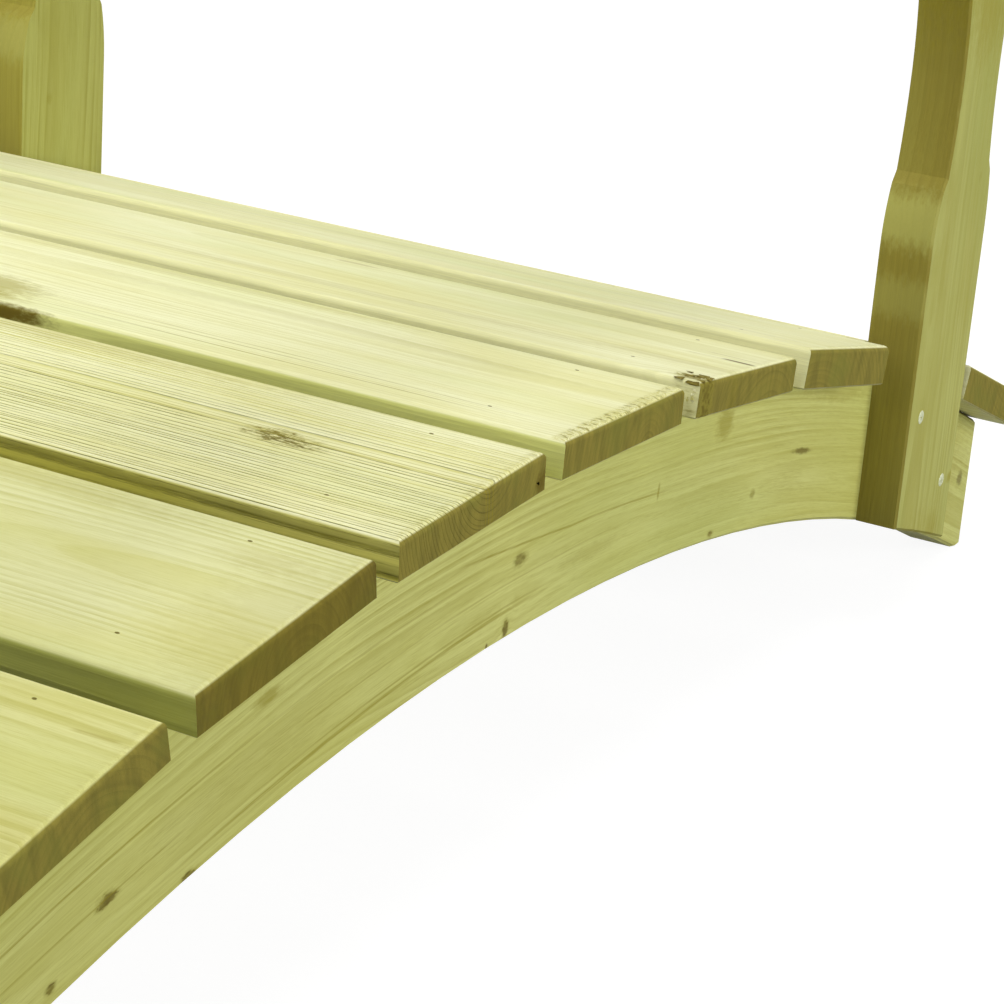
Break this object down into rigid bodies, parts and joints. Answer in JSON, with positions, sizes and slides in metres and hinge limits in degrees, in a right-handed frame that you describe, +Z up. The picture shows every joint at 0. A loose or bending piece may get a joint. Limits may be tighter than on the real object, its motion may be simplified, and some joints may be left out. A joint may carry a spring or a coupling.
{
  "type": "garden bridge with handrails",
  "caption": "Arched wooden garden bridge with a board deck, shaped posts and arched handrails.",
  "frame": {"origin": "on the ground under the crown of the arch, midway between the sides", "axes": "+X along the bridge, +Y across it, +Z up"},
  "size_m": [1.6832, 0.74, 1.0498],
  "materials": {
    "deck_pine": "planed, pressure treated",
    "beam_pine": "planed, pressure treated",
    "post_pine": "planed, pressure treated",
    "rail_pine": "planed, pressure treated"
  },
  "bodies": {
    "root": {"batten_left": "beam_pine", "batten_right": "beam_pine", "beam_back": "beam_pine", "beam_front": "beam_pine", "deck_board_01": "deck_pine", "deck_board_02": "deck_pine", "deck_board_03": "deck_pine", "deck_board_04": "deck_pine", "deck_board_05": "deck_pine", "deck_board_06": "deck_pine", "deck_board_07": "deck_pine", "deck_board_08": "deck_pine", "deck_board_09": "deck_pine", "deck_board_10": "deck_pine", "handrail_back": "rail_pine", "handrail_front": "rail_pine", "midrail_back": "rail_pine", "midrail_front": "rail_pine", "post_back_left": "post_pine", "post_back_right": "post_pine", "post_front_left": "post_pine", "post_front_right": "post_pine"}
  },
  "joints": []
}
